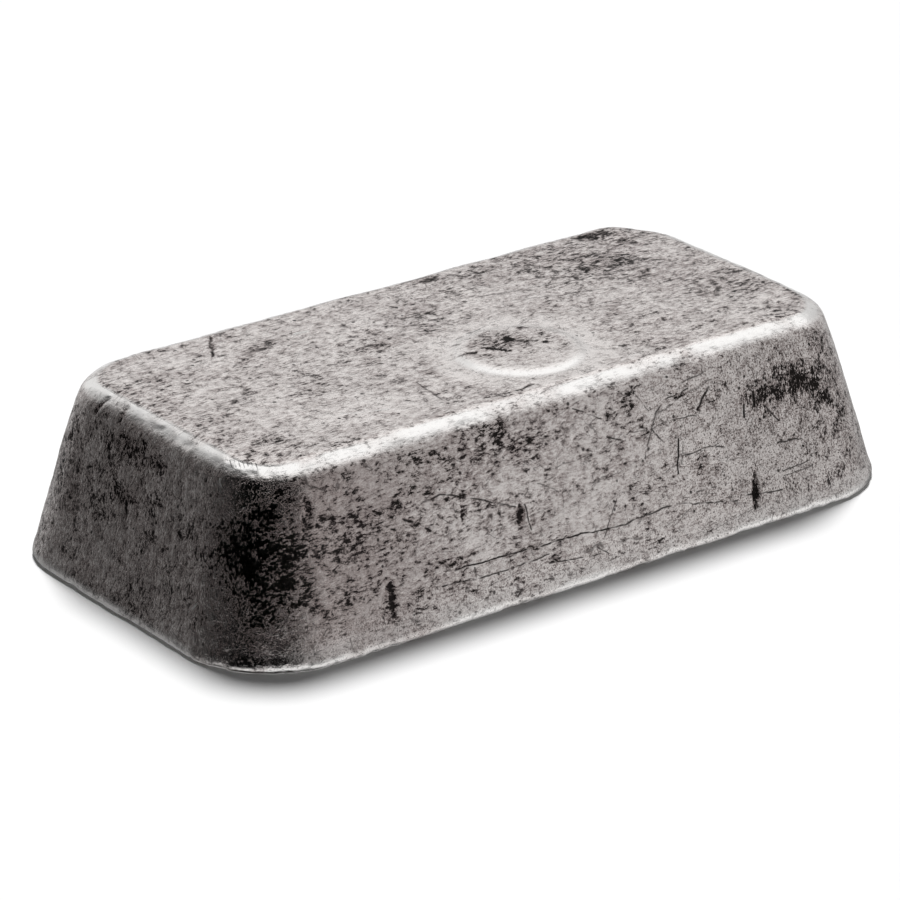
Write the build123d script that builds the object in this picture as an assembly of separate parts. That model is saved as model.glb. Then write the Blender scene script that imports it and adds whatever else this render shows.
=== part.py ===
"""A poured silver bar of one hundred troy ounces, cast in an open mould and turned out.

The bar lies on its larger face, which was the open top of the mould. All four sides lean in by the
mould's draft, and the upright corners are rounded, more at the base than at the top.

Frame: millimetres, +Z up, the origin at the centre of the base face, the bar's length along X.
"""

import math
import os

from build123d import *

# The base, where the metal met the rim of the mould
BASE_LENGTH = 143.4
BASE_WIDTH = 77.6
BASE_CORNER_RADIUS = 17.6

# The body
HEIGHT = 32.5
END_DRAFT = 14.6  # degrees that the two ends lean in from upright
SIDE_DRAFT = 14.5  # degrees that the two long sides lean in from upright

# The worn edges
TOP_CORNER_RADIUS = 12.6
TOP_EDGE_RADIUS = 5.0
BASE_EDGE_RADIUS = 0.8


def rounded_outline(length, width, corner_radius, z):
    """A rectangle with rounded corners, level, centred on the Z axis at height z."""
    return Plane.XY.offset(z) * RectangleRounded(length, width, corner_radius)


def ingot():
    """The bar as one solid: base outline lofted straight to the top outline, with rounded edges."""
    top_length = BASE_LENGTH - 2 * HEIGHT * math.tan(math.radians(END_DRAFT))
    top_width = BASE_WIDTH - 2 * HEIGHT * math.tan(math.radians(SIDE_DRAFT))
    base_outline = rounded_outline(BASE_LENGTH, BASE_WIDTH, BASE_CORNER_RADIUS, 0)
    top_outline = rounded_outline(top_length, top_width, TOP_CORNER_RADIUS, HEIGHT)
    body = loft([base_outline, top_outline], ruled=True)
    top_edges = body.faces().sort_by(Axis.Z)[-1].edges()
    body = fillet(top_edges, TOP_EDGE_RADIUS)
    base_edges = body.faces().sort_by(Axis.Z)[0].edges()
    return fillet(base_edges, BASE_EDGE_RADIUS)


def main():
    os.makedirs("parts", exist_ok=True)
    bar = ingot()
    export_step(bar, "parts/ingot.step")
    print(f"ingot: {bar.volume / 1000:.1f} cm3")


main()
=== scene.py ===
"""A poured silver bar of one hundred troy ounces: worn, scratched and tarnished, lying on its larger face.

The CAD solid gives its size. One dense mesh takes that solid's place and carries the casting's waves,
the dents, gouges and nicks, and the shallow round mark on the upper face. The material carries what is
finer: pits, hairline scratches, tarnish in the hollows and bright metal where the bar has been rubbed.
It also paints shade on the front left corner, the left part of the front and the left end, and a
highlight on the foot of the front and on the front left side of the round mark's lip.
Surface work is done in millimetres, and turned into metres when the mesh is made.
"""

import math

import bpy
import numpy as np
from mathutils import Matrix, Vector, geometry, noise


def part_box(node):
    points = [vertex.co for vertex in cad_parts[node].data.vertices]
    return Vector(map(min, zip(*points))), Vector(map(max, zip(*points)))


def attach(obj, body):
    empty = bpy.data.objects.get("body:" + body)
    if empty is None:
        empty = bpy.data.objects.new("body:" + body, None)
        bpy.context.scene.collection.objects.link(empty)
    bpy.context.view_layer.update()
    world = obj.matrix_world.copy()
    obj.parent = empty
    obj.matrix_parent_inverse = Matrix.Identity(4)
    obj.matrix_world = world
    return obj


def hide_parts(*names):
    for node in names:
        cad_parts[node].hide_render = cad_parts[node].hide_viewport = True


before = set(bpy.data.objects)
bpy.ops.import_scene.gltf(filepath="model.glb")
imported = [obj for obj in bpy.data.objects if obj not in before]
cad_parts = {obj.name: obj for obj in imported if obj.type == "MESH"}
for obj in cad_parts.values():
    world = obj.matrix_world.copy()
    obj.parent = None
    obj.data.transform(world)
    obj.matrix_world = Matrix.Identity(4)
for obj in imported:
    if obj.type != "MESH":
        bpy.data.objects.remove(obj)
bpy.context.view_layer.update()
MM = 0.001

# ---------------------------------------------------------------- the bar's form, in millimetres

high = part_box("ingot")[1]
HEIGHT = high.z / MM
END_DRAFT = math.radians(14.6)
SIDE_DRAFT = math.radians(14.5)
MEAN_DRAFT = (END_DRAFT + SIDE_DRAFT) / 2
BASE_CORNER_RADIUS = 17.6
TOP_CORNER_RADIUS = 12.6
TOP_EDGE_RADIUS = 5.0
BASE_EDGE_RADIUS = 0.8

# The sharp outline of the base, before its edge is rounded off
EDGE_LOSS = BASE_EDGE_RADIUS * (math.tan(MEAN_DRAFT) + 1 / math.cos(MEAN_DRAFT) - 1)
HALF_LENGTH = high.x / MM + EDGE_LOSS
HALF_WIDTH = high.y / MM + EDGE_LOSS

# Mesh steps: along the length, across the width, and up the side in three stretches
STEPS_X = 236
STEPS_Y = 118
BASE_EDGE_STEPS = 5
SIDE_STEPS = 66
TOP_EDGE_STEPS = 15
BASE_FACE_STEP = 3.0


def ring(half_x, half_y, radius, height):
    """Points round a level rounded rectangle, counted from the middle of its front left corner."""

    def side(length, steps):
        straight = length - 2 * radius
        eighth = radius * math.pi / 4
        run = np.linspace(0, straight + 2 * eighth, steps, endpoint=False)
        turn = (np.clip(run - eighth - straight, 0, None) - np.clip(eighth - run, 0, None)) / radius
        along = np.clip(run - eighth, 0, straight) - straight / 2 + radius * np.sin(turn)
        return along, radius * (1 - np.cos(turn))

    x, bend_x = side(2 * half_x, STEPS_X)
    y, bend_y = side(2 * half_y, STEPS_Y)
    ring_x = np.concatenate([x, half_x - bend_y, -x, bend_y - half_x])
    ring_y = np.concatenate([bend_x - half_y, y, half_y - bend_x, -y])
    return np.stack([ring_x, ring_y, np.full_like(ring_x, height)], axis=1)


def edge_ring(radius, centre_height, angle):
    """The ring of a rounded edge where its surface faces the given angle above the horizon."""
    inset = radius / math.cos(MEAN_DRAFT) - radius * math.cos(angle)
    half_x = HALF_LENGTH - centre_height * math.tan(END_DRAFT) - inset
    half_y = HALF_WIDTH - centre_height * math.tan(SIDE_DRAFT) - inset
    corner = BASE_CORNER_RADIUS + (TOP_CORNER_RADIUS - BASE_CORNER_RADIUS) * centre_height / HEIGHT
    return ring(half_x, half_y, corner - inset, centre_height + radius * math.sin(angle))


def all_rings():
    """The rings from the base face's rim, up the side, to the top face's rim."""
    base_angles = np.linspace(-math.pi / 2, MEAN_DRAFT, BASE_EDGE_STEPS)
    top_angles = np.linspace(MEAN_DRAFT, math.pi / 2, TOP_EDGE_STEPS)
    base = [edge_ring(BASE_EDGE_RADIUS, BASE_EDGE_RADIUS, a) for a in base_angles]
    top = [edge_ring(TOP_EDGE_RADIUS, HEIGHT - TOP_EDGE_RADIUS, a) for a in top_angles]
    blend = np.linspace(0, 1, SIDE_STEPS + 1)[1:-1]
    side = [base[-1] * (1 - t) + top[0] * t for t in blend]
    return np.array(base + side + top)


def top_grid(rim):
    """Points inside the top face's rim, spread evenly between its four sides."""
    front = rim[:STEPS_X + 1]
    right = rim[STEPS_X:STEPS_X + STEPS_Y + 1]
    back = rim[STEPS_X + STEPS_Y:2 * STEPS_X + STEPS_Y + 1][::-1]
    left = np.concatenate([rim[2 * STEPS_X + STEPS_Y:], rim[:1]])[::-1]
    u = np.linspace(0, 1, STEPS_X + 1)[:, None, None]
    v = np.linspace(0, 1, STEPS_Y + 1)[None, :, None]
    across = (1 - v) * front[:, None] + v * back[:, None]
    along = (1 - u) * left[None] + u * right[None]
    corners = (1 - u) * ((1 - v) * front[0] + v * back[0]) + u * ((1 - v) * front[-1] + v * back[-1])
    return (across + along - corners)[1:-1, 1:-1]


def base_fill(rim):
    """Points and triangles that close the base face inside its rim."""
    reach_x, reach_y = rim[:, 0].max(), rim[:, 1].max()
    corner = BASE_CORNER_RADIUS - BASE_EDGE_RADIUS - BASE_FACE_STEP
    inner = []
    for x in np.arange(-reach_x + BASE_FACE_STEP, reach_x - BASE_FACE_STEP / 2, BASE_FACE_STEP):
        for y in np.arange(-reach_y + BASE_FACE_STEP, reach_y - BASE_FACE_STEP / 2, BASE_FACE_STEP):
            past_x = max(abs(x) - (reach_x - BASE_CORNER_RADIUS), 0)
            past_y = max(abs(y) - (reach_y - BASE_CORNER_RADIUS), 0)
            if math.hypot(past_x, past_y) < corner:
                inner.append((x, y))
    points = [Vector(p[:2]) for p in rim] + [Vector(p) for p in inner]
    edges = [(i, (i + 1) % len(rim)) for i in range(len(rim))]
    found = geometry.delaunay_2d_cdt(points, edges, [], 1, 1e-4)
    origin = [source[0] for source in found[3]]
    triangles = [[origin[i] for i in face] for face in found[2]]
    return np.array([(x, y, 0.0) for x, y in inner]), triangles


def bar_mesh_data():
    """All vertices and faces of the closed bar, before any relief, and which vertices fill the base face."""
    rings = all_rings()
    count, around = rings.shape[:2]
    grid = top_grid(rings[-1])
    base_points, base_triangles = base_fill(rings[0])
    points = np.concatenate([rings.reshape(-1, 3), grid.reshape(-1, 3), base_points])

    faces = []
    for i in range(count - 1):
        for j in range(around):
            k = (j + 1) % around
            faces.append((i * around + j, i * around + k, (i + 1) * around + k, (i + 1) * around + j))

    # The top face's vertex numbers as one sheet, its border taken from the last ring
    last = (count - 1) * around
    sheet = np.zeros((STEPS_X + 1, STEPS_Y + 1), int)
    sheet[:, 0] = last + np.arange(STEPS_X + 1)
    sheet[-1, :] = last + STEPS_X + np.arange(STEPS_Y + 1)
    sheet[:, -1] = last + (2 * STEPS_X + STEPS_Y - np.arange(STEPS_X + 1))
    sheet[0, 1:] = last + (around - np.arange(1, STEPS_Y + 1))
    sheet[1:-1, 1:-1] = count * around + np.arange(grid.shape[0] * grid.shape[1]).reshape(grid.shape[:2])
    for i in range(STEPS_X):
        for j in range(STEPS_Y):
            faces.append((sheet[i, j], sheet[i + 1, j], sheet[i + 1, j + 1], sheet[i, j + 1]))

    first_base = count * around + grid.shape[0] * grid.shape[1]
    for a, b, c in base_triangles:
        numbers = [n if n < around else first_base + n - around for n in (a, b, c)]
        faces.append(tuple(reversed(numbers)))
    return points, faces, np.arange(len(points)) >= first_base


points, faces, is_base = bar_mesh_data()
mesh = bpy.data.meshes.new("ingot_surface")
mesh.from_pydata([tuple(p) for p in points], [], [tuple(int(n) for n in f) for f in faces])
mesh.update()
normals = np.zeros(len(points) * 3)
mesh.vertices.foreach_get("normal", normals)
normals = normals.reshape(-1, 3)

# ---------------------------------------------------------------- places on the bar


def on_top(x, y):
    """A place on the top face."""
    return np.array([x, y, HEIGHT])


def on_front(x, z):
    """A place on the long front side, which faces -Y."""
    return np.array([x, z * math.tan(SIDE_DRAFT) - HALF_WIDTH, z])


def on_back(x, z):
    """A place on the long back side, which faces +Y."""
    return np.array([x, HALF_WIDTH - z * math.tan(SIDE_DRAFT), z])


def on_left(y, z):
    """A place on the left end, which faces -X."""
    return np.array([z * math.tan(END_DRAFT) - HALF_LENGTH, y, z])


def on_right(y, z):
    """A place on the right end, which faces +X."""
    return np.array([HALF_LENGTH - z * math.tan(END_DRAFT), y, z])


def rounding(half_size, draft, turn):
    """Where the upper rounding lies, across and up: turn is 0 at the side and 1 at the top."""
    angle = MEAN_DRAFT + turn * (math.pi / 2 - MEAN_DRAFT)
    centre_z = HEIGHT - TOP_EDGE_RADIUS
    centre = centre_z * math.tan(draft) - half_size + TOP_EDGE_RADIUS / math.cos(MEAN_DRAFT)
    return centre - TOP_EDGE_RADIUS * math.cos(angle), centre_z + TOP_EDGE_RADIUS * math.sin(angle)


def on_front_edge(x, turn):
    """A place on the rounding between the front and the top."""
    y, z = rounding(HALF_WIDTH, SIDE_DRAFT, turn)
    return np.array([x, y, z])


def on_left_edge(y, turn):
    """A place on the rounding between the left end and the top."""
    x, z = rounding(HALF_LENGTH, END_DRAFT, turn)
    return np.array([x, y, z])


def ramp(x, start, end):
    """0 before start, 1 after end, and a smooth rise between; start may be the larger."""
    t = np.clip((x - start) / (end - start), 0, 1)
    return t * t * (3 - 2 * t)


def field(size, octaves, seed):
    """Soft noise at every vertex, about -1 to 1, with lumps of the given size in millimetres."""
    shift = Vector((17.3, 7.1, 11.9)) * seed
    return np.array([noise.fractal(Vector(p) / size + shift, 1.0, 2.0, octaves) for p in points])


def near(start, end, width):
    """1 along the line from start to end, fading to 0 over about its width, and thin at both tips."""
    span = end - start
    length_squared = max(float(span @ span), 1e-6)
    part = np.clip((points - start) @ span / length_squared, 0, 1)
    gap = np.linalg.norm(points - start - part[:, None] * span, axis=1)
    taper = 1 - 0.5 * (2 * part - 1) ** 2
    return np.exp(-(gap / (width * taper)) ** 2)


# ---------------------------------------------------------------- relief, in millimetres

# Gouges and nicks: start, end, half width, depth
GOUGES = (
    (on_front(36.7, 9.6), on_front(35.8, 3.6), 0.55, 0.50),
    (on_front(-41.0, 10.6), on_front(-41.4, 4.6), 0.42, 0.35),
    (on_front(-13.0, 16.5), on_front(-13.5, 12.5), 0.60, 0.22),
    (on_front(-24.5, 19.5), on_front(-25.0, 16.5), 0.45, 0.22),
    (on_front(20.5, 18.8), on_front(20.0, 14.5), 0.40, 0.18),
    (on_front(-36.5, 20.0), on_front(-32.0, 17.0), 0.45, 0.18),
    (on_front(-54.5, 28.0), on_front(-54.0, 24.0), 0.70, 0.25),
    (on_front(-57.5, 15.0), on_front(-54.5, 9.0), 0.70, 0.15),
    (on_front_edge(-14.5, 0.35), on_front_edge(-13.5, 0.0), 0.45, 0.25),
    (on_front_edge(33.0, 0.5), on_front_edge(33.5, 0.2), 0.50, 0.10),
    (on_top(-34.0, 26.0), on_top(-38.5, 18.5), 0.45, 0.25),
    (on_top(-7.0, -25.8), on_top(-3.0, -25.0), 0.40, 0.12),
    (on_top(-18.0, -12.5), on_top(-19.5, -23.0), 0.40, 0.06),
    (on_left_edge(15.0, 0.6), on_left_edge(16.0, 0.1), 0.50, 0.30),
    (on_left_edge(9.5, 0.6), on_left_edge(9.0, 0.2), 0.45, 0.22),
    (on_left(-23.0, 28.0), on_left(-26.0, 21.0), 0.60, 0.25),
    (on_left(23.0, 24.0), on_left(22.0, 23.0), 0.90, 0.30),
    (on_left(3.0, 20.0), on_left(2.0, 14.0), 0.50, 0.12),
    (on_right(-12.0, 21.0), on_right(-8.0, 15.0), 0.60, 0.25),
    (on_right(15.0, 12.0), on_right(16.0, 6.0), 0.50, 0.25),
    (on_back(30.0, 18.0), on_back(26.0, 10.0), 0.55, 0.30),
    (on_back(-22.0, 12.0), on_back(-22.5, 6.0), 0.60, 0.35),
    (on_back(-45.0, 22.0), on_back(-36.0, 20.0), 0.45, 0.20),
)

# Shallow round dents: place, radius, depth; a depth below zero is a rise
DENTS = (
    (on_front(-47.0, 26.0), 3.0, 0.14),
    (on_front(-45.0, 9.0), 3.5, 0.12),
    (on_front(-27.0, 26.0), 3.0, 0.10),
    (on_front(2.0, 24.0), 4.5, 0.10),
    (on_front(27.0, 12.0), 5.0, 0.10),
    (on_front(46.0, 15.0), 4.0, 0.12),
    (on_top(-45.0, -6.0), 6.0, 0.10),
    (on_top(-20.0, -20.0), 5.0, 0.12),
    (on_top(30.0, -8.0), 6.0, 0.10),
    (on_top(34.0, 17.0), 5.0, 0.12),
    (on_left(8.0, 12.0), 5.0, 0.15),
    (on_left(-14.0, 20.0), 4.0, 0.12),
    (on_right(4.0, 22.0), 5.0, 0.15),
    (on_back(10.0, 20.0), 6.0, 0.14),
    (on_back(-40.0, 14.0), 5.0, 0.14),
    (on_top(54.0, 25.0), 8.0, -0.65),
)

# The round mark: a low disc whose border slopes over a short way
MARK_CENTRE = on_top(4.2, -11.9)
MARK_RADIUS = 11.0
MARK_HEIGHT = 0.62
MARK_SLOPE = 1.8

# The roll along the lower edge: its height above the floor, how far it stands out, its half width
BEAD_HEIGHT = 1.5
BEAD_DEPTH = 0.2
BEAD_WIDTH = 0.8

# The base face stands a little off the floor inside its rim, and isn't flat
BASE_LIFT = 0.25
BASE_WAVE = 0.12

# The worn upper corners: how far in from the sharp corner, how deep, and how far the wear reaches
CORNER_INSET = 4.0
CORNER_LOSS = 0.45
CORNER_REACH = 6.5

# How far each vertex faces upward, then what it lies on: 1 on the part that is named, 0 off it
up = normals[:, 2]
above = ramp(points[:, 2], HEIGHT - 6.0, HEIGHT - 4.0)
top_edge = above * ramp(up, 0.55, 0.85) * ramp(up, 0.999, 0.96)
top_face = above * ramp(up, 0.98, 0.999)
base_rim = ramp(points[:, 2], 2.4, 1.0) * ~is_base
sides = 1 - np.maximum(top_face, is_base)
front_side = ramp(normals[:, 1], -0.6, -0.9)

# How far each vertex is from the middle of the round mark
mark_reach = np.linalg.norm((points - MARK_CENTRE)[:, :2], axis=1)


def casting_waves():
    """The slow waves of the mould and the finer unevenness of the metal that froze against it."""
    slow = 0.16 * field(16.0, 2, 1)
    middle = 0.080 * field(5.0, 2, 2)
    hammered = sides * ramp(points[:, 0], -20.0, -50.0)
    fine = (0.022 + 0.045 * hammered) * field(1.7, 2, 3)
    return slow + middle * (0.5 + 0.5 * sides) + fine


def round_mark():
    """A low disc with a worn lip, its middle rougher than the metal round it."""
    disc = MARK_HEIGHT * np.clip((MARK_RADIUS - mark_reach) / MARK_SLOPE + 0.5, 0, 1)
    lip = 0.04 * np.exp(-((mark_reach - MARK_RADIUS + 1.9) / 0.8) ** 2)
    rough = 0.06 * field(1.5, 2, 4) * ramp(mark_reach, MARK_RADIUS - 1.4, MARK_RADIUS - 2.6)
    return (disc + lip + rough) * top_face


def base_bead():
    """The slight roll of metal along the lower edge, left by the mould's rim."""
    patchy = np.clip(0.8 + 0.6 * field(5.0, 2, 10), 0.2, 1.3)
    return BEAD_DEPTH * patchy * np.exp(-((points[:, 2] - BEAD_HEIGHT) / BEAD_WIDTH) ** 2) * ~is_base


def worn_edges():
    """Edges rubbed and knocked out of true, the four upper corners most of all."""
    shave = -0.14 * (0.6 + field(9.0, 2, 5)) * top_edge
    knocks = -0.10 * ramp(field(2.2, 2, 6), 0.15, 0.5) * np.maximum(top_edge, 1.6 * base_rim)
    corner_x = HALF_LENGTH - HEIGHT * math.tan(END_DRAFT) - CORNER_INSET
    corner_y = HALF_WIDTH - HEIGHT * math.tan(SIDE_DRAFT) - CORNER_INSET
    tip = np.stack([np.abs(points[:, 0]) - corner_x, np.abs(points[:, 1]) - corner_y, points[:, 2] - HEIGHT])
    corners = -CORNER_LOSS * np.exp(-(np.linalg.norm(tip, axis=0) / CORNER_REACH) ** 2)
    return shave + knocks + corners


# The burr that a cut pushes up on both sides, as a share of the cut's depth
BURR = 0.25

relief = casting_waves() * ~is_base + round_mark() + base_bead() + worn_edges()
cuts = np.zeros(len(points))
for start, end, width, depth in GOUGES:
    cuts = np.maximum(cuts, depth * near(start, end, width))
    relief += BURR * depth * (near(start, end, 2.2 * width) - near(start, end, 1.3 * width))
for place, radius, depth in DENTS:
    relief -= depth * near(place, place, radius)
relief -= cuts

surface = points + normals * relief[:, None]
surface[:, 2] = np.where(is_base, BASE_LIFT + BASE_WAVE * field(14.0, 2, 7), surface[:, 2])
surface[:, 2] = np.maximum(surface[:, 2], 0)
mesh.vertices.foreach_set("co", (surface * MM).ravel())
mesh.update()
mesh.polygons.foreach_set("use_smooth", np.ones(len(mesh.polygons), bool))

# ---------------------------------------------------------------- stains, rubbed metal, painted shade and painted highlight

# Dark stains, and painted shade on the front left corner, the front's left part and the left end:
# start, end, half width, strength; a strength below zero is a cleaner place
STAINS_AND_PAINTED_SHADE = (
    # Painted shade: the dark band down the front left corner, where the metal mirrors dark surroundings
    (np.array([-60.7, -28.0, 26.0]), np.array([-65.0, -32.2, 6.0]), 6.0, 0.9),
    # Painted shade: the left part of the front
    (on_front(-62.0, 18.0), on_front(-42.0, 18.0), 14.0, 0.6),
    (on_front(-38.0, 24.0), on_front(-10.0, 27.0), 6.0, 0.45),
    (on_front(38.0, 24.0), on_front(60.0, 18.0), 8.0, 0.35),
    (on_front(56.0, 28.0), on_front(62.0, 6.0), 5.0, 0.55),
    (on_front(24.0, 14.0), on_front(29.0, 12.0), 2.5, 0.5),
    # Painted shade: the whole left end
    (on_left(-30.0, 16.0), on_left(30.0, 16.0), 18.0, 0.6),
    (on_top(20.0, 22.0), on_top(60.0, 20.0), 11.0, 0.35),
    (on_top(44.0, 2.0), on_top(58.0, -14.0), 9.0, 0.35),
    (on_top(-36.5, 13.5), on_top(-26.0, 18.5), 1.6, 0.6),
    (on_top(-18.5, 5.5), on_top(-12.5, 5.0), 1.8, 0.5),
    (on_top(-14.0, 6.0), on_top(-13.0, 4.5), 1.2, 0.9),
    (on_top(-54.5, 18.0), on_top(-51.0, 13.5), 1.5, 0.5),
    (on_top(-48.0, 5.5), on_top(-45.5, 5.0), 1.0, 0.5),
    (on_top(10.0, 25.5), on_top(15.0, 25.0), 1.6, 0.9),
    (on_top(46.5, 25.5), on_top(51.5, 25.0), 1.5, 0.9),
    (on_top(1.5, 20.0), on_top(-2.0, 6.0), 4.0, 0.35),
    (on_top(30.0, 17.0), on_top(50.0, 8.0), 9.0, 0.35),
    (on_top(-0.5, -5.0), on_top(5.5, -8.5), 4.2, 0.8),
    (on_top(4.6, -7.4), on_top(5.2, -7.9), 1.1, 2.4),
    (on_top(9.7, -4.4), on_top(10.4, -5.0), 0.8, 2.2),
    (on_top(9.0, -12.2), on_top(9.8, -12.8), 0.6, 2.2),
    (on_top(-6.3, -8.3), on_top(-3.2, -9.2), 0.5, 2.2),
    (on_top(-1.0, -8.1), on_top(2.1, -12.2), 0.4, 2.0),
    (on_top(-4.0, -3.0), on_top(-2.7, -4.0), 0.5, 2.0),
    (on_top(-15.0, -9.0), on_top(-13.0, -11.0), 1.4, 0.8),
    (on_top(-11.0, 1.2), on_top(-8.5, 0.4), 0.5, 0.9),
    (on_top(33.0, -15.0), on_top(33.5, -15.5), 0.6, 0.8),
    (on_top(38.0, -18.5), on_top(38.5, -18.5), 0.6, 0.7),
    (on_top(23.0, -20.0), on_top(25.0, -21.0), 0.6, 0.7),
    (on_top(7.5, 8.0), on_top(8.0, 8.0), 0.8, 0.7),
    (on_top(-40.0, -18.0), on_top(-24.0, -19.0), 6.0, -0.30),
    (on_top(14.0, -20.0), on_top(18.0, -12.0), 3.0, -0.35),
    (on_front(-15.0, 28.0), on_front(-12.0, 24.0), 2.2, 0.5),
    (on_front(36.0, 22.5), on_front(50.0, 22.5), 2.6, 0.8),
    (on_front(48.0, 25.0), on_front(54.0, 19.0), 2.4, 0.7),
    (on_front(-13.0, 15.5), on_front(-13.5, 14.0), 1.8, 0.7),
    (on_front(-47.0, 22.0), on_front(-36.0, 21.5), 1.8, 0.45),
    (on_front(-41.0, 10.0), on_front(-41.3, 5.5), 1.3, 0.5),
    (on_front(36.4, 7.5), on_front(35.9, 5.0), 1.1, 0.8),
    (on_front(-34.0, 10.5), on_front(-22.0, 11.0), 1.2, 0.45),
    (on_front(10.0, 28.5), on_front(13.0, 26.0), 1.8, 0.4),
    (on_front(22.0, 18.0), on_front(30.0, 13.0), 4.0, -0.25),
    (on_front(-5.0, 12.0), on_front(15.0, 9.0), 4.0, -0.20),
    (on_left(10.0, 27.0), on_left(-6.0, 26.5), 2.0, 0.7),
    (on_back(-20.0, 20.0), on_back(8.0, 12.0), 5.0, 0.4),
    (on_back(34.0, 22.0), on_back(44.0, 20.0), 3.0, 0.7),
    (on_right(8.0, 24.0), on_right(-6.0, 14.0), 4.0, 0.5),
)


def stain_and_painted_shade():
    """How dark each place is: stains, cuts and hollows darken it, painted shade darkens the front left
    corner, the left part of the front and the left end, and round the mark it is cleaner.
    """
    total = np.clip(cuts / 0.2, 0, 1)
    for start, end, width, strength in STAINS_AND_PAINTED_SHADE:
        total = total + strength * near(start, end, width)
    hollows = ramp(-field(5.0, 2, 2), 0.1, 0.5)
    halo = top_face * ramp(mark_reach, 17.5, 15.0) * ramp(mark_reach, 8.0, 10.0)
    return total + 0.25 * hollows + 0.35 * field(9.0, 3, 8) - 0.6 * halo


def front_film_and_painted_shade():
    """How far the front is dulled: a grey film a little over all of it, and painted shade most at its left
    end.
    """
    # Painted shade: the darkening grows toward the front's left end
    left = ramp(points[:, 0], -22.0, -48.0)
    return front_side * (0.11 + 0.46 * left)


def wear_and_painted_highlight():
    """How rubbed each place is: the top edges, the base rim and the mark's lip,
    with painted highlight on the foot of the front and on the lip's front left side.
    """
    patchy = np.clip(0.85 + 0.9 * field(7.0, 3, 9), 0, 1)
    from_centre = points - MARK_CENTRE
    front_left = -(0.6 * from_centre[:, 0] + 0.8 * from_centre[:, 1]) / np.maximum(mark_reach, 1)
    lip = top_face * np.exp(-(mark_reach - MARK_RADIUS) ** 2)
    # Painted highlight: the lip is rubbed brighter on its front left side, the side toward the camera
    lip = lip * (0.4 + 0.6 * ramp(front_left, 0.1, 0.6))
    # Painted highlight: the foot of the front side alone is rubbed bright
    painted_foot_highlight = ramp(normals[:, 1], -0.5, -0.9) * ramp(points[:, 2], 5.0, 2.4) * ~is_base
    edges = np.maximum.reduce([top_edge, 0.9 * base_rim, 0.3 * painted_foot_highlight]) * patchy
    return np.clip(np.maximum(edges, lip) - 2.0 * cuts, 0, 1)


def crisp():
    """1 where the dark marks have sharp edges: the right half of the front, and its lower edge."""
    right = ramp(points[:, 0], 5.0, 30.0)
    low = ramp(points[:, 2], 9.0, 4.0)
    return front_side * np.maximum(right, 0.7 * low)


def upright():
    """1 where the marks run up and down, not along the bar: on both ends and on the front's right end."""
    right = ramp(points[:, 0], 20.0, 42.0) * ramp(normals[:, 1], -0.7, -0.9)
    ends = ramp(np.abs(normals[:, 0]), 0.6, 0.9)
    return np.maximum(right * 0.9, ends)


def add_attribute(name, values):
    """A number at each vertex that the material reads."""
    made = mesh.attributes.new(name, "FLOAT", "POINT")
    made.data.foreach_set("value", values.astype(np.float32))


add_attribute("stain_and_painted_shade", stain_and_painted_shade())
add_attribute("crisp", crisp())
add_attribute("front_film_and_painted_shade", front_film_and_painted_shade())
add_attribute("wear_and_painted_highlight", wear_and_painted_highlight())
add_attribute("upright", upright())
ingot = bpy.data.objects.new("ingot_surface", mesh)
bpy.context.scene.collection.objects.link(ingot)

# ---------------------------------------------------------------- material


def new_material(name):
    """A material with its Principled shader."""
    material = bpy.data.materials.new(name)
    material.use_nodes = True
    return material, material.node_tree.nodes["Principled BSDF"]


class Shader:
    """Short calls that add nodes to one tree. A value is a number or another node's output."""

    def __init__(self, tree):
        self.tree = tree

    def add(self, kind, **settings):
        node = self.tree.nodes.new(kind)
        for key, setting in settings.items():
            setattr(node, key, setting)
        return node

    def feed(self, socket, value):
        if isinstance(value, bpy.types.NodeSocket):
            self.tree.links.new(value, socket)
        else:
            socket.default_value = value

    def math(self, operation, *values):
        node = self.add("ShaderNodeMath", operation=operation)
        for socket, value in zip(node.inputs, values):
            self.feed(socket, value)
        return node.outputs[0]

    def vector(self, operation, *values, scale=None):
        node = self.add("ShaderNodeVectorMath", operation=operation)
        for socket, value in zip(node.inputs, values):
            self.feed(socket, value)
        if scale is not None:
            self.feed(node.inputs["Scale"], scale)
        gives_number = operation in ("DOT_PRODUCT", "DISTANCE")
        return node.outputs["Value"] if gives_number else node.outputs["Vector"]

    def ramp(self, value, start, end, low_value=0.0, high_value=1.0):
        node = self.add("ShaderNodeMapRange", interpolation_type="SMOOTHSTEP", clamp=False)
        for socket, number in zip(node.inputs, (value, start, end, low_value, high_value)):
            self.feed(socket, number)
        return node.outputs[0]

    def noise(self, place, size, detail, roughness, distortion=0.0):
        node = self.add("ShaderNodeTexNoise")
        self.feed(node.inputs["Vector"], place)
        node.inputs["Scale"].default_value = 1 / size
        node.inputs["Detail"].default_value = detail
        node.inputs["Roughness"].default_value = roughness
        node.inputs["Distortion"].default_value = distortion
        return node.outputs

    def cells(self, place, size):
        node = self.add("ShaderNodeTexVoronoi")
        self.feed(node.inputs["Vector"], place)
        node.inputs["Scale"].default_value = 1 / size
        return node.outputs

    def channels(self, colour):
        node = self.add("ShaderNodeSeparateColor")
        self.feed(node.inputs[0], colour)
        return node.outputs

    def mix(self, factor, first, second):
        node = self.add("ShaderNodeMix", data_type="RGBA")
        self.feed(node.inputs[0], factor)
        self.feed(node.inputs[6], first)
        self.feed(node.inputs[7], second)
        return node.outputs[2]

    def blend(self, factor, first, second):
        node = self.add("ShaderNodeMix", data_type="FLOAT")
        for socket, value in zip(node.inputs[0:1] + node.inputs[2:4], (factor, first, second)):
            self.feed(socket, value)
        return node.outputs[0]

    def attribute(self, name):
        return self.add("ShaderNodeAttribute", attribute_name=name).outputs["Fac"]

    def largest(self, *values):
        result = values[0]
        for value in values[1:]:
            result = self.math("MAXIMUM", result, value)
        return result


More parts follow.
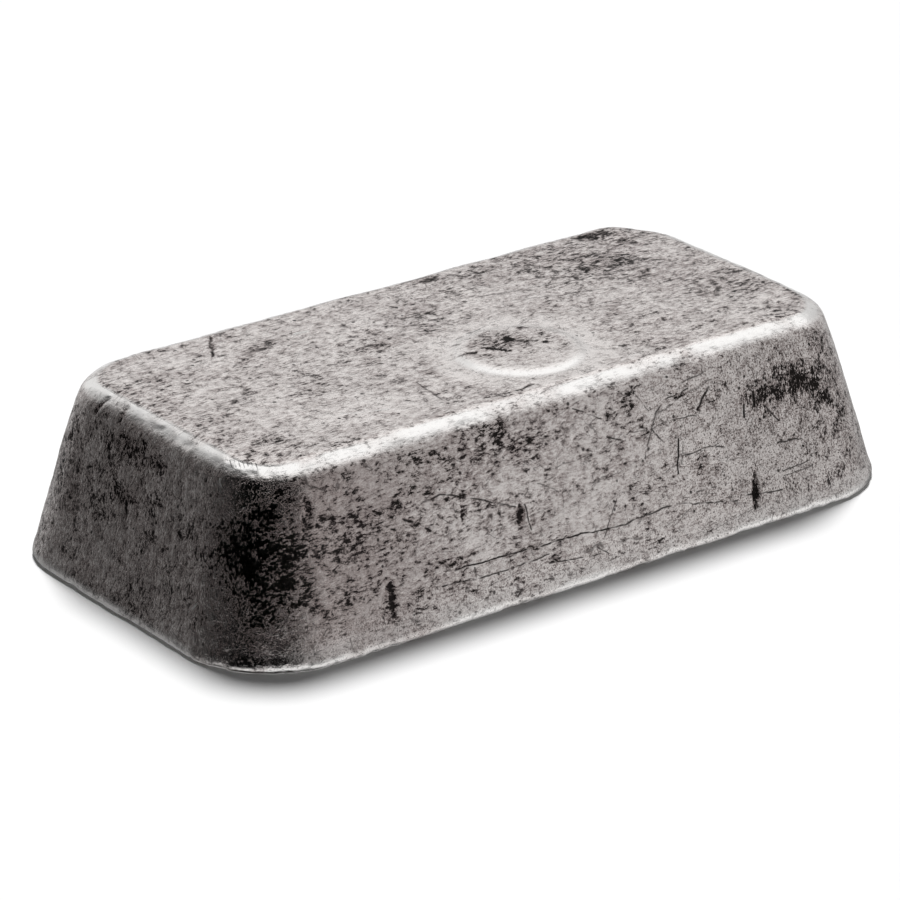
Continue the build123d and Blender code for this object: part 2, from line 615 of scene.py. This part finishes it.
# Clean metal, metal under a grey film, tarnish, and rubbed metal; the film and tarnish colours also paint
# shade, and the rubbed colour also paints a highlight
BRIGHT = (0.94, 0.89, 0.865, 1)
DULL_AND_SHADED = (0.355, 0.295, 0.283, 1)
BLACKENED_AND_SHADED = (0.020, 0.017, 0.016, 1)
RUBBED_AND_HIGHLIT = (0.93, 0.915, 0.90, 1)

# Scratches too fine for the mesh: lines of places, half width in millimetres, strength
SCRATCH_SPREAD = 1.3  # how much wider than listed they are all drawn
SCRATCHES = (
    ((on_front(16.0, 22.0), on_front(17.5, 24.5), on_front(20.5, 26.2), on_front(25.0, 26.8)), 0.12, 0.9),
    ((on_front(16.0, 22.0), on_front(20.0, 22.6), on_front(26.0, 22.0)), 0.11, 0.8),
    ((on_front(16.0, 22.0), on_front(14.0, 17.5)), 0.12, 0.9),
    ((on_front(16.0, 22.0), on_front(18.7, 18.5)), 0.13, 0.9),
    ((on_front(16.0, 22.0), on_front(11.5, 22.6), on_front(9.0, 21.8)), 0.10, 0.7),
    ((on_front(21.5, 16.0), on_front(28.0, 16.4), on_front(32.0, 15.2)), 0.12, 0.9),
    ((on_front(6.5, 23.0), on_front(9.5, 21.6)), 0.13, 0.9),
    ((on_front(0.5, 29.0), on_front(3.0, 28.0), on_front(6.0, 26.0)), 0.12, 0.9),
    ((on_front(-36.4, 19.5), on_front(-33.5, 18.3), on_front(-31.8, 16.6)), 0.18, 1.0),
    ((on_front(-32.0, 21.4), on_front(-28.7, 21.8), on_front(-21.0, 19.1), on_front(-14.2, 16.1)), 0.13, 0.9),
    ((on_front(-28.0, 9.1), on_front(-13.5, 8.8), on_front(-2.0, 8.6), on_front(6.0, 7.8)), 0.14, 1.0),
    ((on_front(6.0, 7.8), on_front(18.5, 8.6), on_front(32.0, 5.9)), 0.14, 0.9),
    ((on_front(-31.0, 7.3), on_front(-21.5, 6.5), on_front(-9.0, 6.9)), 0.13, 0.9),
    ((on_front(-9.0, 5.4), on_front(1.5, 4.4)), 0.13, 0.9),
    ((on_front(7.0, 13.0), on_front(3.0, 6.9)), 0.13, 0.8),
    ((on_front(1.0, 5.6), on_front(3.0, 4.2)), 0.14, 0.8),
    ((on_front(29.5, 26.0), on_front(26.5, 23.0)), 0.22, 1.0),
    ((on_front(21.4, 19.2), on_front(20.3, 13.3)), 0.15, 1.0),
    ((on_front(22.2, 18.4), on_front(21.4, 14.6)), 0.11, 0.8),
    ((on_front(36.4, 21.2), on_front(36.1, 19.4)), 0.26, 1.0),
    ((on_front(38.9, 23.0), on_front(38.8, 20.6)), 0.24, 1.0),
    ((on_front(34.0, 6.2), on_front(42.0, 5.3)), 0.14, 0.9),
    ((on_front(24.0, 28.0), on_front(28.4, 28.6)), 0.14, 0.8),
    ((on_front(42.7, 13.4), on_front(48.1, 12.7)), 0.14, 0.9),
    ((on_front(23.5, 9.4), on_front(27.9, 9.4)), 0.13, 0.8),
    ((on_front(43.0, 8.5), on_front(49.5, 8.7)), 0.12, 0.8),
    ((on_front(43.0, 7.6), on_front(49.0, 7.6)), 0.12, 0.7),
    ((on_front(-12.2, 16.0), on_front(-11.6, 11.8)), 0.16, 0.9),
    ((on_front(-5.0, 20.5), on_front(3.0, 21.0)), 0.10, 0.6),
    ((on_front(2.5, 17.5), on_front(3.5, 13.0)), 0.10, 0.7),
    ((on_front(-24.0, 8.5), on_front(-24.3, 4.5)), 0.12, 0.8),
    ((on_front(13.0, 30.0), on_front(16.0, 25.0)), 0.10, 0.7),
    ((on_front(41.0, 20.0), on_front(43.5, 17.0)), 0.15, 0.9),
    ((on_front(-9.0, 19.0), on_front(-5.0, 16.5)), 0.10, 0.6),
    ((on_top(-18.0, -12.5), on_top(-19.5, -23.0)), 0.16, 0.6),
    ((on_top(-7.0, -25.8), on_top(-3.0, -25.0)), 0.20, 0.9),
    ((on_top(14.0, 13.0), on_top(34.0, 9.0), on_top(54.0, 6.0)), 0.14, 0.5),
    ((on_top(18.0, 8.0), on_top(36.0, 2.0)), 0.14, 0.5),
    ((on_top(-34.0, 26.0), on_top(-38.5, 18.5)), 0.25, 1.0),
    ((on_top(22.0, -2.0), on_top(50.0, -12.0)), 0.14, 0.4),
)

# A row of short parallel cuts across the worn front left corner
HATCH_WIDTH = 0.12
HATCH_STRENGTH = 0.7
HATCH = tuple(
    (np.array([x, y, 31.9]), np.array([x - 0.6, y - 1.5, 31.3]))
    for x, y in zip(np.linspace(-61.0, -58.4, 7), np.linspace(-19.8, -23.4, 7))
)

# Fresh scratches, still bright: places and half width
GLINTS = (
    ((np.array([-61.6, 17.8, 32.0]), np.array([-63.0, 16.3, 31.0])), 0.20),
    ((np.array([-61.6, 11.0, 32.0]), np.array([-62.4, 10.2, 31.4])), 0.18),
    ((np.array([-63.6, -20.6, 29.6]), np.array([-65.2, -24.9, 22.4])), 0.14),
    ((on_top(-21.6, 18.2), on_top(-19.0, 17.9)), 0.40),
    ((on_top(-36.0, -16.0), on_top(-33.2, -17.8), on_top(-28.8, -19.4)), 0.25),
    ((on_left(-19.6, 7.3), on_left(-21.8, 9.8)), 0.16),
)


def line_scratch(shader, place, start, end, width):
    """1 on the line from start to end, fading to 0 round its half width."""
    span = end - start
    from_start = shader.vector("SUBTRACT", place, tuple(start))
    part = shader.vector("DOT_PRODUCT", from_start, tuple(span / float(span @ span)))
    part = shader.math("MAXIMUM", shader.math("MINIMUM", part, 1.0), 0.0)
    foot = shader.vector("SCALE", tuple(span), scale=part)
    gap = shader.vector("DISTANCE", from_start, foot)
    return shader.ramp(gap, width * 1.3, width * 0.4)


def chance_scratches(shader, place, size, width, share, squash=(1, 1, 1)):
    """Random straight scratches, at most one in each cell of the given size, in a share of the cells."""
    cell = shader.cells(place, size)
    local = shader.vector("SUBTRACT", place, cell["Position"])
    facing = shader.vector("SUBTRACT", cell["Color"], (0.5, 0.5, 0.5))
    facing = shader.vector("NORMALIZE", shader.vector("MULTIPLY", facing, squash))
    gap = shader.math("ABSOLUTE", shader.vector("DOT_PRODUCT", local, facing))
    line = shader.ramp(gap, width * 1.4, width * 0.3)
    reach = shader.ramp(cell["Distance"], 0.55 * size, 0.35 * size)
    kept = shader.math("LESS_THAN", shader.channels(cell["Color"])[2], share)
    return shader.math("MULTIPLY", shader.math("MULTIPLY", line, reach), kept)


def round_pits(s, bent):
    """Round pits of several sizes, in about a fifth of the cells."""
    cell = s.cells(bent, 1.5)
    size = s.ramp(s.channels(cell["Color"])[0], 0.78, 1.0, 0.0, 0.28)
    return s.ramp(s.math("SUBTRACT", cell["Distance"], size), 0.0, -0.12)


def chance_lines(s, bent, mottle):
    """Random hairlines of three lengths, broken where the mottling is pale."""
    short_lines = chance_scratches(s, bent, size=1.6, width=0.045, share=0.5)
    middle_lines = chance_scratches(s, bent, size=4.2, width=0.07, share=0.55, squash=(0.5, 1, 1))
    long_lines = chance_scratches(s, bent, size=13.0, width=0.08, share=0.6, squash=(0.12, 1, 1))
    broken = s.ramp(mottle, 0.62, 0.45)
    return s.math("MULTIPLY", s.largest(short_lines, middle_lines, long_lines), broken)


def drawn_lines(s, place, bent):
    """The scratches that are placed one by one, and the row of short cuts."""
    drawn = 0.0
    for places, width, strength in SCRATCHES:
        for start, end in zip(places, places[1:]):
            line = line_scratch(s, bent, start, end, SCRATCH_SPREAD * width)
            drawn = s.math("MAXIMUM", drawn, s.math("MULTIPLY", line, strength))
    for start, end in HATCH:
        line = line_scratch(s, place, start, end, HATCH_WIDTH)
        drawn = s.math("MAXIMUM", drawn, s.math("MULTIPLY", line, HATCH_STRENGTH))
    return drawn


def bright_lines(s, bent):
    """The fresh scratches."""
    lines = []
    for places, width in GLINTS:
        for start, end in zip(places, places[1:]):
            lines.append(line_scratch(s, bent, start, end, width))
    return s.largest(*lines)


def silver():
    """Tarnished silver with blackened pits and scratches, and clean metal on what is rubbed."""
    material, metal_surface = new_material("tarnished_silver")
    s = Shader(material.node_tree)
    object_place = s.add("ShaderNodeTexCoord").outputs["Object"]
    place = s.vector("SCALE", object_place, scale=1 / MM)
    drift = s.noise(place, size=2.6, detail=2, roughness=0.5)["Color"]
    drift = s.vector("SUBTRACT", drift, (0.5, 0.5, 0.5))
    bent = s.vector("ADD", place, s.vector("SCALE", drift, scale=0.9))
    # The stain attribute also carries painted shade
    stain_and_shade = s.attribute("stain_and_painted_shade")
    # The wear attribute also carries a painted highlight
    wear_and_highlight = s.attribute("wear_and_painted_highlight")

    # Dark specks, drawn out along the bar or upright, with more of them where the metal is stained and where
    # shade is painted
    clouds = s.noise(place, size=7.0, detail=3, roughness=0.6)["Fac"]
    lengthwise = s.vector("MULTIPLY", bent, (0.4, 1.0, 1.0))
    along = s.noise(lengthwise, size=0.52, detail=3.5, roughness=0.76)["Fac"]
    heightwise = s.vector("MULTIPLY", bent, (1.2, 1.0, 0.5))
    upwards = s.noise(heightwise, size=0.42, detail=3.5, roughness=0.76)["Fac"]
    sharp = s.attribute("crisp")
    grain = s.blend(s.attribute("upright"), along, upwards)
    mottle = s.noise(bent, size=1.9, detail=3, roughness=0.62)["Fac"]
    tone = s.math("MULTIPLY_ADD", grain, 0.85, s.math("MULTIPLY_ADD", mottle, 0.40, -0.125))
    threshold = s.math("MULTIPLY_ADD", stain_and_shade, 0.12, 0.385)
    threshold = s.math("MULTIPLY_ADD", s.math("SUBTRACT", clouds, 0.5), 0.20, threshold)
    gap = s.math("SUBTRACT", tone, threshold)
    gap = s.math("MULTIPLY", gap, s.math("MULTIPLY_ADD", sharp, 1.2, 1.0))
    specks = s.ramp(gap, 0.03, -0.03)
    cores = s.ramp(gap, 0.01, -0.045)

    # Flecks finer than the specks, and thin winding lines
    fine = s.noise(place, size=0.30, detail=2.0, roughness=0.7)["Fac"]
    fleck_depth = s.math("MULTIPLY_ADD", sharp, 0.75, 0.15)
    flecks = s.math("MULTIPLY", s.ramp(fine, 0.43, 0.35), fleck_depth)
    worm = s.noise(bent, size=1.4, detail=1.5, roughness=0.6, distortion=0.8)["Fac"]
    worm = s.math("ABSOLUTE", s.math("SUBTRACT", worm, 0.5))
    worms = s.math("MULTIPLY", s.ramp(worm, 0.026, 0.004), s.ramp(mottle, 0.54, 0.42))

    pits = round_pits(s, bent)
    chance = chance_lines(s, bent, mottle)
    drawn = drawn_lines(s, place, bent)
    glint = bright_lines(s, bent)

    # All dark marks together: rubbing and the painted highlight take most of them away, but not the placed
    # scratches
    kept = s.math("SUBTRACT", 1.0, s.math("MULTIPLY", wear_and_highlight, 0.85))
    speck_depth = s.math("MULTIPLY_ADD", sharp, 0.2, 0.55)
    faint = s.largest(s.math("MULTIPLY", specks, speck_depth), s.math("MULTIPLY", worms, 0.6), cores)
    lines = s.math("MULTIPLY", chance, 0.6)
    marks = s.largest(faint, lines, s.math("MULTIPLY", pits, 0.9))
    flecks = s.math("MULTIPLY", flecks, s.math("MULTIPLY_ADD", wear_and_highlight, -0.6, 1.0))
    dark = s.largest(s.math("MULTIPLY", marks, kept), flecks, drawn)

    # Colour: film and painted shade, clean metal, rubbed metal and painted highlight, then the dark marks and
    # the fresh scratches over it
    sparkle_depth = s.math("MULTIPLY_ADD", sharp, 1.0, 0.1)
    sparkle = s.math("MULTIPLY", s.math("SUBTRACT", fine, 0.5), sparkle_depth)
    shade = s.math("ADD", s.math("MULTIPLY_ADD", stain_and_shade, -0.16, tone), sparkle)
    shade = s.ramp(shade, 0.30, 0.66)
    # The front's grey film, and its painted shade at the left end, dull the metal
    shade = s.math("MULTIPLY", shade, s.math("SUBTRACT", 1.0, s.attribute("front_film_and_painted_shade")))
    metal = s.mix(shade, DULL_AND_SHADED, BRIGHT)
    metal = s.mix(wear_and_highlight, metal, RUBBED_AND_HIGHLIT)
    colour = s.mix(dark, metal, BLACKENED_AND_SHADED)
    colour = s.mix(glint, colour, RUBBED_AND_HIGHLIT)
    edge_tint = s.mix(dark, (1.0, 1.0, 1.0, 1), (0.5, 0.5, 0.5, 1))

    # Tarnish and fresh scratches are duller than the metal, and rubbed metal and the painted highlight are
    # smoother
    roughness = s.math("MULTIPLY_ADD", grain, 0.14, 0.11)
    roughness = s.math("MULTIPLY_ADD", dark, 0.08, roughness)
    roughness = s.math("MULTIPLY_ADD", wear_and_highlight, -0.03, roughness)
    roughness = s.math("MULTIPLY_ADD", glint, 0.5, roughness)

    # Relief too fine for the mesh, in millimetres
    height = s.math("MULTIPLY", grain, 0.14)
    height = s.math("MULTIPLY_ADD", mottle, 0.16, height)
    height = s.math("MULTIPLY_ADD", specks, -0.05, height)
    height = s.math("MULTIPLY", height, kept)
    bump = s.add("ShaderNodeBump")
    bump.inputs["Strength"].default_value = 1.0
    bump.inputs["Distance"].default_value = MM
    s.feed(bump.inputs["Height"], height)

    metal_surface.inputs["Metallic"].default_value = 1.0
    s.feed(metal_surface.inputs["Base Color"], colour)
    s.feed(metal_surface.inputs["Specular Tint"], edge_tint)
    s.feed(metal_surface.inputs["Roughness"], roughness)
    s.feed(metal_surface.inputs["Normal"], bump.outputs[0])
    return material


mesh.materials.append(silver())

# ---------------------------------------------------------------- floor, light and camera

FLOOR_HALF = 4.0
floor_mesh = bpy.data.meshes.new("floor")
floor_corners = [(x * FLOOR_HALF, y * FLOOR_HALF, 0) for x, y in ((-1, -1), (1, -1), (1, 1), (-1, 1))]
floor_mesh.from_pydata(floor_corners, [], [(0, 1, 2, 3)])
floor = bpy.data.objects.new("floor", floor_mesh)
bpy.context.scene.collection.objects.link(floor)
floor.visible_glossy = False
paper, paper_surface = new_material("white_paper")
paper_surface.inputs["Base Color"].default_value = (0.88, 0.88, 0.88, 1)
paper_surface.inputs["Roughness"].default_value = 1.0
paper_surface.inputs["Specular IOR Level"].default_value = 0.0
floor_mesh.materials.append(paper)

# What the metal mirrors. Brightness round the horizon by compass angle in degrees: 0 is +X, 90 is +Y.
HORIZON = (
    (-180, 0.003), (-114, 0.003), (-109, 0.07), (-95, 0.19), (-75, 0.44), (-57, 0.58), (0, 0.54), (50, 0.72),
    (62, 0.80), (80, 0.80), (92, 0.62), (102, 0.38), (112, 0.20), (122, 0.10), (132, 0.072), (150, 0.055),
    (162, 0.045), (167, 0.003), (180, 0.003),
)
# The panel overhead, as seen on a level ceiling one unit up: start and end of each soft border
PANEL_X = ((-0.30, 0.05), (2.2, 1.5))
PANEL_Y = ((-0.30, -0.02), (1.12, 0.68))
PANEL_BRIGHTNESS = 1.05


def light_tent():
    """World light for the metal: a panel overhead, pale walls in front, right and behind, and dark left."""
    world = bpy.data.worlds.new("light_tent")
    bpy.context.scene.world = world
    world.use_nodes = True
    world.cycles_visibility.diffuse = False
    s = Shader(world.node_tree)
    background = world.node_tree.nodes["Background"]
    direction = s.add("ShaderNodeTexCoord").outputs["Generated"]
    parts = s.add("ShaderNodeSeparateXYZ")
    s.feed(parts.inputs[0], direction)
    x, y, z = parts.outputs
    turn = s.math("MULTIPLY_ADD", s.math("ARCTAN2", y, x), 1 / math.tau, 0.5)
    compass = s.add("ShaderNodeValToRGB")
    elements = compass.color_ramp.elements
    while len(elements) < len(HORIZON):
        elements.new(0.5)
    for element, (angle, level) in zip(elements, HORIZON):
        element.position = angle / 360 + 0.5
        element.color = (level, level, level, 1)
    s.feed(compass.inputs[0], turn)

    rise = s.math("MAXIMUM", z, 0.02)
    panel = s.ramp(z, 0.25, 0.35)
    for axis, borders in ((x, PANEL_X), (y, PANEL_Y)):
        across = s.math("DIVIDE", axis, rise)
        for start, end in borders:
            panel = s.math("MULTIPLY", panel, s.ramp(across, start, end))
    level = s.mix(panel, compass.outputs[0], (PANEL_BRIGHTNESS,) * 3 + (1,))

    # Below the horizon: a pale table, brighter toward the front, and the bar's own shade under its back
    table = s.math("MULTIPLY", s.ramp(z, -0.20, -0.38), s.ramp(z, -0.85, -0.62))
    level = s.mix(table, level, s.ramp(y, 0.3, -0.5, 0.28, 0.85))
    away = s.math("ADD", s.math("MULTIPLY", x, 0.6), s.math("MULTIPLY", y, 0.8))
    under = s.math("MULTIPLY", s.ramp(z, -0.80, -0.93), s.ramp(away, -0.30, -0.02))
    level = s.mix(under, level, (0.05, 0.05, 0.05, 1))
    seen = s.add("ShaderNodeLightPath").outputs["Is Camera Ray"]
    s.feed(background.inputs["Color"], s.mix(seen, level, (1.0, 1.0, 1.0, 1)))


def floor_light(name, azimuth, elevation, spread, strength):
    """A soft distant light for the floor alone: it stays out of the metal's reflections."""
    data = bpy.data.lights.new(name, "SUN")
    data.energy = strength
    data.angle = math.radians(spread)
    light = bpy.data.objects.new(name, data)
    light.rotation_euler = (0, math.radians(90 - elevation), math.radians(azimuth))
    light.visible_glossy = False
    bpy.context.scene.collection.objects.link(light)


light_tent()
floor_light("back_light", azimuth=52, elevation=62, spread=15, strength=3.75)
floor_light("overhead_light", azimuth=53, elevation=80, spread=100, strength=0.35)

CAMERA_AZIMUTH = math.radians(-36.5)
CAMERA_ELEVATION = math.radians(22.9)
CAMERA_ROLL = math.radians(-0.53)
CAMERA_DISTANCE = 0.7910
CAMERA_LENS = 180.5
AIM = Vector((0.0012, 0.0043, 0.0095))


def place_camera():
    """A long lens, a little above the bar and in front of its left corner."""
    level = math.cos(CAMERA_ELEVATION)
    away_x = math.sin(CAMERA_AZIMUTH) * level
    away_y = -math.cos(CAMERA_AZIMUTH) * level
    away = Vector((away_x, away_y, math.sin(CAMERA_ELEVATION)))
    right = Vector((math.cos(CAMERA_AZIMUTH), math.sin(CAMERA_AZIMUTH), 0))
    view = Matrix((right, away.cross(right), away)).transposed() @ Matrix.Rotation(CAMERA_ROLL, 3, "Z")
    data = bpy.data.cameras.new("camera")
    data.lens = CAMERA_LENS
    data.clip_start = 0.01
    camera = bpy.data.objects.new("camera", data)
    camera.matrix_world = Matrix.Translation(AIM + away * CAMERA_DISTANCE) @ view.to_4x4()
    bpy.context.scene.collection.objects.link(camera)
    bpy.context.scene.camera = camera


place_camera()
bpy.context.scene.view_settings.view_transform = "Standard"

# ---------------------------------------------------------------- how it joins the CAD model

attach(ingot, "root")
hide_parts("ingot")
